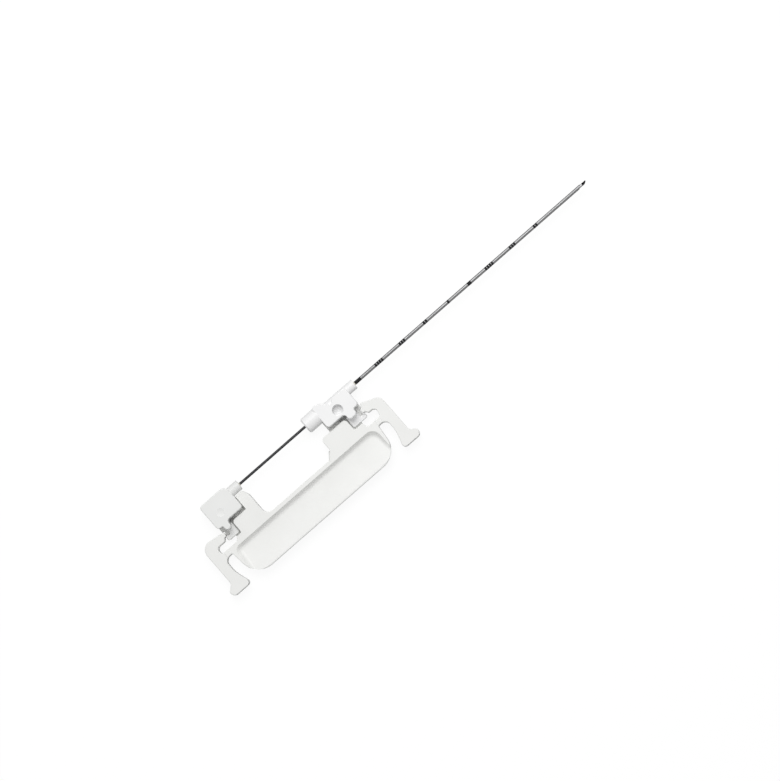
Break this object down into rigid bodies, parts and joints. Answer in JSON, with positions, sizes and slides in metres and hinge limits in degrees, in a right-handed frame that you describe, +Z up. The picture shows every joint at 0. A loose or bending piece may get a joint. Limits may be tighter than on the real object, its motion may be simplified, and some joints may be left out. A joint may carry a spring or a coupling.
{
  "type": "biopsy needle",
  "caption": "Steel core biopsy needle with depth marks: a notched stylet in a cannula, each with a hub, clipped in a moulded carrier with a finger scoop and sprung squeeze levers",
  "frame": {"origin": "on the needle's axis, in the nose face of the cannula hub where the cannula comes out", "axes": "+X along the needle to its tip, +Z up from the face that the carrier lies on, -Y to the grip"},
  "size_m": [0.184, 0.0312, 0.0066],
  "materials": {
    "cannula_steel": "drawn and ground surgical steel",
    "stylet_steel": "drawn and ground surgical steel",
    "mark_ink": "thin matt black print",
    "adhesive": "clear cured adhesive with a glossy meniscus",
    "cannula_hub_plastic": "white moulded polycarbonate, slightly glossy",
    "stylet_hub_plastic": "off-white moulded polycarbonate, slightly glossy",
    "carrier_plastic": "warm white moulded polypropylene, satin"
  },
  "bodies": {
    "carrier": {"carrier": "carrier_plastic", "front_hinge_web": "carrier_plastic", "rear_hinge_web": "carrier_plastic", "cannula_hub": "cannula_hub_plastic", "stylet_hub": "stylet_hub_plastic", "cannula": "cannula_steel", "stylet": "stylet_steel", "depth_marks": "mark_ink", "cannula_bond": "adhesive", "stylet_bond": "adhesive"},
    "front_lever": {"front_lever": "carrier_plastic"},
    "rear_lever": {"rear_lever": "carrier_plastic"}
  },
  "joints": [
    {"name": "front_lever_squeeze", "type": "hinge", "parent": "carrier", "child": "front_lever", "pos_m": [-0.0021, -0.01525, -0.0014], "axis": [0, 0, -1], "range_deg": [0, 10], "stiffness_Nm_per_rad": 0.08, "deforming": ["front_hinge_web"]},
    {"name": "rear_lever_squeeze", "type": "hinge", "parent": "carrier", "child": "rear_lever", "pos_m": [-0.0704, -0.01525, -0.0014], "axis": [0, 0, 1], "range_deg": [0, 10], "stiffness_Nm_per_rad": 0.08, "deforming": ["rear_hinge_web"]}
  ]
}
